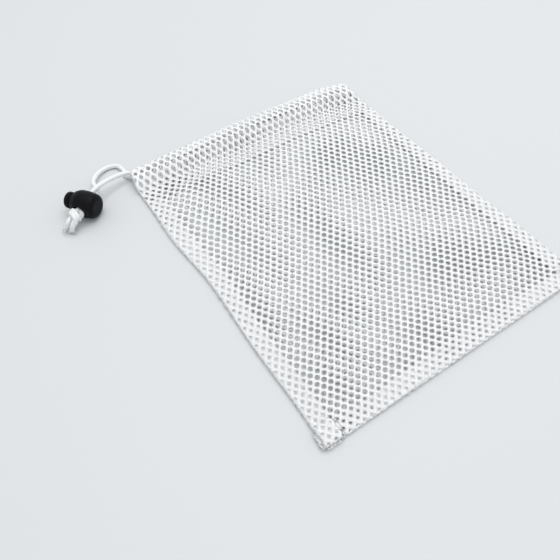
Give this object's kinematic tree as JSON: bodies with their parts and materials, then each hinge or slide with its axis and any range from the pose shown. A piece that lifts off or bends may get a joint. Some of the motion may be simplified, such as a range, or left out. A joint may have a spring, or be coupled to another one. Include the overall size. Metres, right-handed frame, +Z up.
{
  "type": "mesh produce bag",
  "caption": "Flat drawstring bag of white honeycomb net with turned hems, a braided cord tied in a knot, and a sprung cord lock.",
  "frame": {"origin": "middle of the bag's footprint, on the surface it lies on", "axes": "+X across the bag, away from the cord lock; +Y from the closed bottom to the mouth; +Z up"},
  "size_m": [0.2092, 0.2078, 0.0149],
  "materials": {
    "net": "white warp-knitted polyester net",
    "thread": "white polyester sewing thread",
    "cord": "white braided cord",
    "lock_plastic": "black moulded plastic, satin",
    "plunger_plastic": "black moulded plastic, satin",
    "spring_steel": "plain drawn wire"
  },
  "bodies": {
    "bag": {"front_panel": "net", "back_panel": "net", "left_seam_stitch": "thread", "right_seam_stitch": "thread", "bottom_seam_stitch": "thread", "left_seam_overlock": "thread", "right_seam_overlock": "thread", "bottom_seam_overlock": "thread", "front_hem_stitch": "thread", "back_hem_stitch": "thread", "drawstring_in_hems": "cord", "drawstring_upper_strand": "cord", "drawstring_lower_strand": "cord", "drawstring_ends": "cord", "drawstring_knot": "cord", "drawstring_first_tail": "cord", "drawstring_second_tail": "cord"},
    "cord_lock": {"cord_lock_barrel": "lock_plastic", "cord_lock_spring": "spring_steel"},
    "plunger": {"cord_lock_plunger": "plunger_plastic"}
  },
  "joints": [
    {"name": "lock_slide", "type": "slide", "parent": "bag", "child": "cord_lock", "axis": [0.788, 0.6157, 0], "range_m": [0, 0.016], "deforming": ["drawstring_upper_strand", "drawstring_lower_strand"]},
    {"name": "plunger_press", "type": "slide", "parent": "cord_lock", "child": "plunger", "axis": [0.6157, -0.788, 0], "range_m": [0, 0.0022], "stiffness_N_per_m": 600, "springref_m": -0.002, "deforming": ["cord_lock_spring"]}
  ]
}
